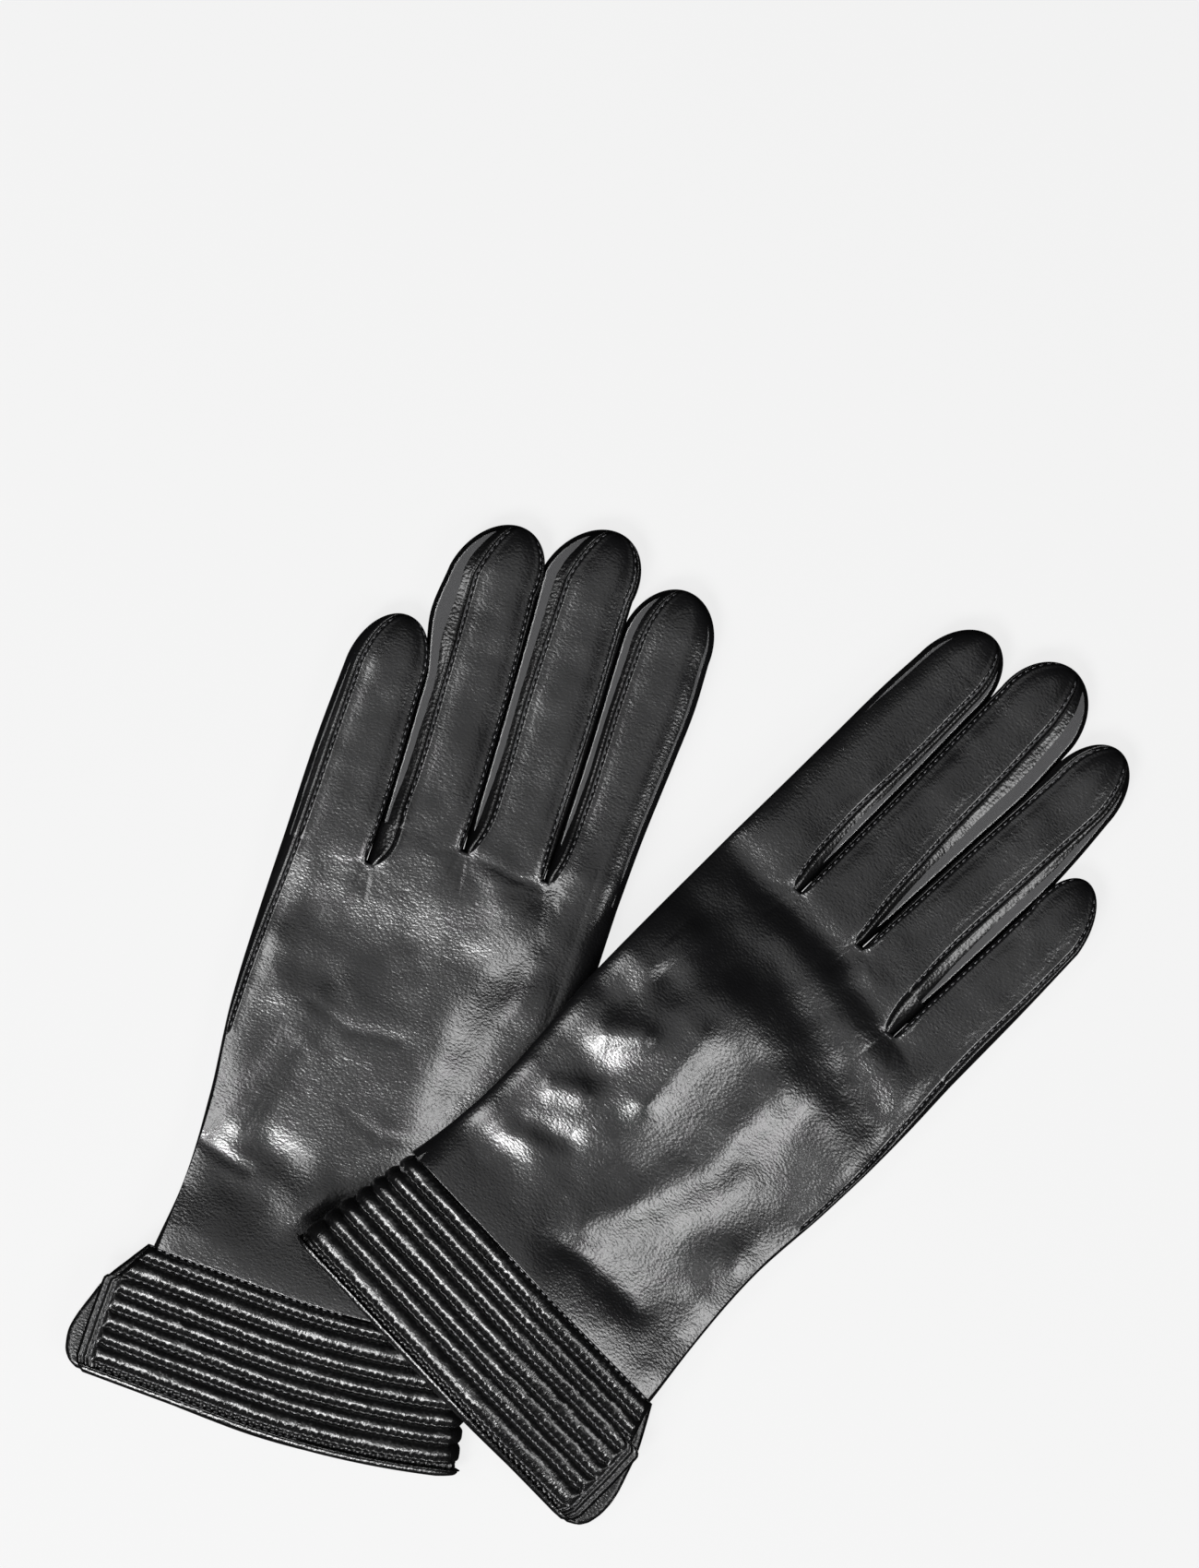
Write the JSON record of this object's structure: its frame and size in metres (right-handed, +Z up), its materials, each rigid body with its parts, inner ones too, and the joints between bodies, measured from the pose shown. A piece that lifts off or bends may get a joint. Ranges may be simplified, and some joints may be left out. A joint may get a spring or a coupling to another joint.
{
  "type": "leather gloves",
  "caption": "Lined black leather dress gloves with padded channel-quilted cuffs, laid palm down with the right-hand glove resting on the left-hand one.",
  "frame": {"origin": "middle of the pair's box, on the surface that the gloves lie on", "axes": "+Z up from that surface, +Y towards the fingertips, halfway between the two gloves' directions, +X towards the right-hand glove"},
  "size_m": [0.2052, 0.2944, 0.0309],
  "materials": {
    "glove_leather": "smooth black nappa with a soft sheen",
    "fourchette_leather": "smooth black nappa",
    "quilted_leather": "smooth black nappa, padded and channel stitched",
    "facing_leather": "smooth black leather, slightly glossy",
    "edge_leather": "turned black leather edge",
    "lining_knit": "fine black knit",
    "wadding": "soft grey polyester wadding"
  },
  "bodies": {
    "left_hand": {"left_trank": "glove_leather", "left_hand_lining": "lining_knit", "left_cuff_band": "quilted_leather", "left_cuff_wadding": "wadding", "left_cuff_facing": "facing_leather", "left_hem_binding": "edge_leather"},
    "left_index_finger": {"left_index_fourchette_ulnar": "fourchette_leather", "left_index_lining": "lining_knit", "left_index_stall": "glove_leather"},
    "left_middle_finger": {"left_middle_fourchette_radial": "fourchette_leather", "left_middle_fourchette_ulnar": "fourchette_leather", "left_middle_lining": "lining_knit", "left_middle_stall": "glove_leather"},
    "left_ring_finger": {"left_ring_fourchette_radial": "fourchette_leather", "left_ring_fourchette_ulnar": "fourchette_leather", "left_ring_lining": "lining_knit", "left_ring_stall": "glove_leather"},
    "left_little_finger": {"left_little_fourchette_radial": "fourchette_leather", "left_little_lining": "lining_knit", "left_little_stall": "glove_leather"},
    "left_thumb": {"left_thumb_stall": "glove_leather", "left_thumb_lining": "lining_knit"},
    "right_hand": {"right_trank": "glove_leather", "right_hand_lining": "lining_knit", "right_cuff_band": "quilted_leather", "right_cuff_wadding": "wadding", "right_cuff_facing": "facing_leather", "right_hem_binding": "edge_leather"},
    "right_index_finger": {"right_index_fourchette_ulnar": "fourchette_leather", "right_index_lining": "lining_knit", "right_index_stall": "glove_leather"},
    "right_middle_finger": {"right_middle_fourchette_radial": "fourchette_leather", "right_middle_fourchette_ulnar": "fourchette_leather", "right_middle_lining": "lining_knit", "right_middle_stall": "glove_leather"},
    "right_ring_finger": {"right_ring_fourchette_radial": "fourchette_leather", "right_ring_fourchette_ulnar": "fourchette_leather", "right_ring_lining": "lining_knit", "right_ring_stall": "glove_leather"},
    "right_little_finger": {"right_little_fourchette_radial": "fourchette_leather", "right_little_lining": "lining_knit", "right_little_stall": "glove_leather"},
    "right_thumb": {"right_thumb_stall": "glove_leather", "right_thumb_lining": "lining_knit"}
  },
  "joints": [
    {"name": "right_glove_lift", "type": "slide", "parent": "left_hand", "child": "right_hand", "axis": [0, 0, 1], "range_m": [0, 0.06]},
    {"name": "left_index_knuckle", "type": "hinge", "parent": "left_hand", "child": "left_index_finger", "pos_m": [-0.01738, 0.02897, 0.01251], "axis": [0.9821, 0.1882, 0], "range_deg": [0, 60]},
    {"name": "left_middle_knuckle", "type": "hinge", "parent": "left_hand", "child": "left_middle_finger", "pos_m": [-0.03875, 0.02487, 0.01251], "axis": [0.9821, 0.1882, 0], "range_deg": [0, 60]},
    {"name": "left_ring_knuckle", "type": "hinge", "parent": "left_hand", "child": "left_ring_finger", "pos_m": [-0.06138, 0.02054, 0.01091], "axis": [0.9821, 0.1882, 0], "range_deg": [0, 60]},
    {"name": "left_little_knuckle", "type": "hinge", "parent": "left_hand", "child": "left_little_finger", "pos_m": [-0.08143, 0.00488, 0.0092], "axis": [0.9821, 0.1882, 0], "range_deg": [0, 60]},
    {"name": "left_thumb_swing", "type": "hinge", "parent": "left_hand", "child": "left_thumb", "pos_m": [-0.0052, -0.0526, 0], "axis": [0, 0, -1], "range_deg": [0, 50]},
    {"name": "right_index_knuckle", "type": "hinge", "parent": "right_hand", "child": "right_index_finger", "pos_m": [0.02005, 0.06168, 0.02106], "axis": [0.9821, -0.1882, 0], "range_deg": [0, 60]},
    {"name": "right_middle_knuckle", "type": "hinge", "parent": "right_hand", "child": "right_middle_finger", "pos_m": [0.0425, 0.05738, 0.01956], "axis": [0.9821, -0.1882, 0], "range_deg": [0, 60]},
    {"name": "right_ring_knuckle", "type": "hinge", "parent": "right_hand", "child": "right_ring_finger", "pos_m": [0.06444, 0.05317, 0.01518], "axis": [0.9821, -0.1882, 0], "range_deg": [0, 60]},
    {"name": "right_little_knuckle", "type": "hinge", "parent": "right_hand", "child": "right_little_finger", "pos_m": [0.08237, 0.03792, 0.0097], "axis": [0.9821, -0.1882, 0], "range_deg": [0, 60]},
    {"name": "right_thumb_swing", "type": "hinge", "parent": "right_hand", "child": "right_thumb", "pos_m": [0.00428, -0.0192, 0.0156], "axis": [0, 0, 1], "range_deg": [0, 50]}
  ]
}
